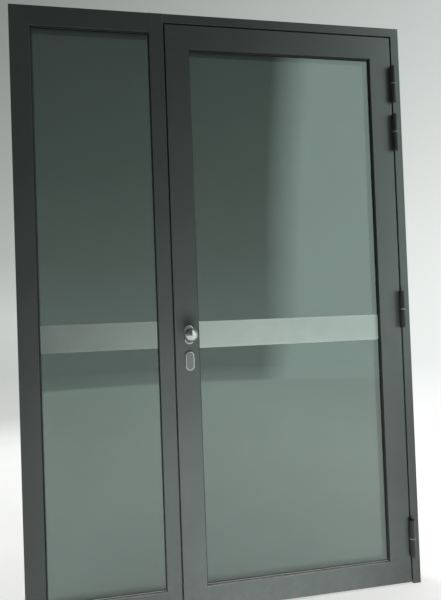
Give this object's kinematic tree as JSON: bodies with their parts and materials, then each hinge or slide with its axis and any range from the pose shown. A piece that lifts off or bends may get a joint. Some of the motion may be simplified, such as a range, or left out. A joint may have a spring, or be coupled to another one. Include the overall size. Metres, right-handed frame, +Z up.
{
  "type": "glazed entrance door set",
  "caption": "Flush aluminium entrance door: glazed leaf on barrel hinges with ball knob, lever, latch and deadbolt, beside a glazed sidelight in the same frame.",
  "frame": {"origin": "on the finished floor, at the middle of the frame's width and depth", "axes": "+X along the wall to the hinge side, +Y from outdoors into the room, +Z up"},
  "size_m": [1.45, 0.2165, 2.15],
  "materials": {
    "frame_profile": "satin",
    "leaf_profile": "satin",
    "insulating_strip": "matte",
    "cast_aluminium": "matte",
    "glass": "gloss",
    "spacer_bar": "satin",
    "frosted_film": "matte",
    "gasket": "matte",
    "black_plastic": "matte",
    "hinge_body": "satin",
    "bearing_plastic": "satin",
    "cast_metal": "satin",
    "stainless_steel": "satin",
    "stainless_trim": "satin",
    "polished_steel": "satin",
    "zinc_plated_steel": "satin",
    "nickel_brass": "satin"
  },
  "bodies": {
    "frame": {"left_jamb": "frame_profile", "right_jamb": "frame_profile", "sidelight_head": "frame_profile", "door_head": "frame_profile", "mullion": "frame_profile", "sidelight_bottom_rail": "frame_profile", "frame_thermal_strips": "insulating_strip", "frame_corner_cleats": "cast_aluminium", "frame_connectors": "cast_aluminium", "sidelight_outer_pane": "glass", "sidelight_inner_pane": "glass", "sidelight_spacer": "spacer_bar", "sidelight_film": "frosted_film", "sidelight_outer_gasket": "gasket", "sidelight_inner_gasket": "gasket", "sidelight_beads": "frame_profile", "sidelight_setting_blocks": "black_plastic", "strike_case": "cast_metal", "strike_plate": "stainless_steel", "hinge_pins": "stainless_steel", "hinge_rings": "bearing_plastic", "hinge_1_frame_knuckle": "hinge_body", "hinge_2_frame_knuckle": "hinge_body", "hinge_3_frame_knuckle": "hinge_body", "hinge_4_frame_knuckle": "hinge_body"},
    "leaf": {"leaf_top_rail": "leaf_profile", "leaf_bottom_rail": "leaf_profile", "leaf_lock_stile": "leaf_profile", "leaf_hinge_stile": "leaf_profile", "leaf_thermal_strips": "insulating_strip", "leaf_corner_cleats": "cast_aluminium", "leaf_outer_pane": "glass", "leaf_inner_pane": "glass", "leaf_spacer": "spacer_bar", "leaf_film": "frosted_film", "leaf_outer_gasket": "gasket", "leaf_inner_gasket": "gasket", "leaf_beads": "leaf_profile", "leaf_setting_blocks": "black_plastic", "rebate_seal": "gasket", "bottom_seal": "gasket", "hinge_1_leaf_knuckle": "hinge_body", "hinge_2_leaf_knuckle": "hinge_body", "hinge_3_leaf_knuckle": "hinge_body", "hinge_4_leaf_knuckle": "hinge_body", "lock_case": "zinc_plated_steel", "lock_faceplate": "stainless_steel", "lock_cylinder": "nickel_brass", "knob_rose": "stainless_trim", "knob": "polished_steel", "outer_escutcheon": "stainless_trim", "lever_rose": "stainless_trim", "inner_escutcheon": "stainless_trim"},
    "handle": {"lever": "polished_steel", "spindle": "zinc_plated_steel", "lock_follower": "zinc_plated_steel"},
    "latch": {"latch_bolt": "nickel_brass"},
    "deadbolt": {"deadbolt": "nickel_brass"},
    "turn": {"thumb_turn": "stainless_trim"},
    "keeper": {"strike_keeper": "cast_metal"}
  },
  "joints": [
    {"name": "leaf_swing", "type": "hinge", "parent": "frame", "child": "leaf", "pos_m": [0.69, -0.0495, 0], "axis": [0, 0, 1], "range_deg": [0, 110]},
    {"name": "lever_turn", "type": "hinge", "parent": "leaf", "child": "handle", "pos_m": [-0.14, 0, 0.99], "axis": [0, 1, 0], "range_deg": [0, 35], "stiffness_Nm_per_rad": 1.6, "springref_deg": -22.92},
    {"name": "latch_slide", "type": "slide", "parent": "leaf", "child": "latch", "axis": [1, 0, 0], "range_m": [0, 0.014]},
    {"name": "thumb_turn_spin", "type": "hinge", "parent": "leaf", "child": "turn", "pos_m": [-0.14, 0, 0.896], "axis": [0, -1, 0], "range_deg": [0, 360]},
    {"name": "deadbolt_slide", "type": "slide", "parent": "leaf", "child": "deadbolt", "axis": [-1, 0, 0], "range_m": [0, 0.02]},
    {"name": "keeper_turn", "type": "hinge", "parent": "frame", "child": "keeper", "pos_m": [-0.18, 0.012, 1.022], "axis": [0, 0, 1], "range_deg": [0, 80]}
  ],
  "couplings": [
    {"joint": "latch_slide", "follows": "lever_turn", "m_per_rad": 0.0229},
    {"joint": "thumb_turn_spin", "follows": "deadbolt_slide", "rad_per_m": 314.16}
  ]
}
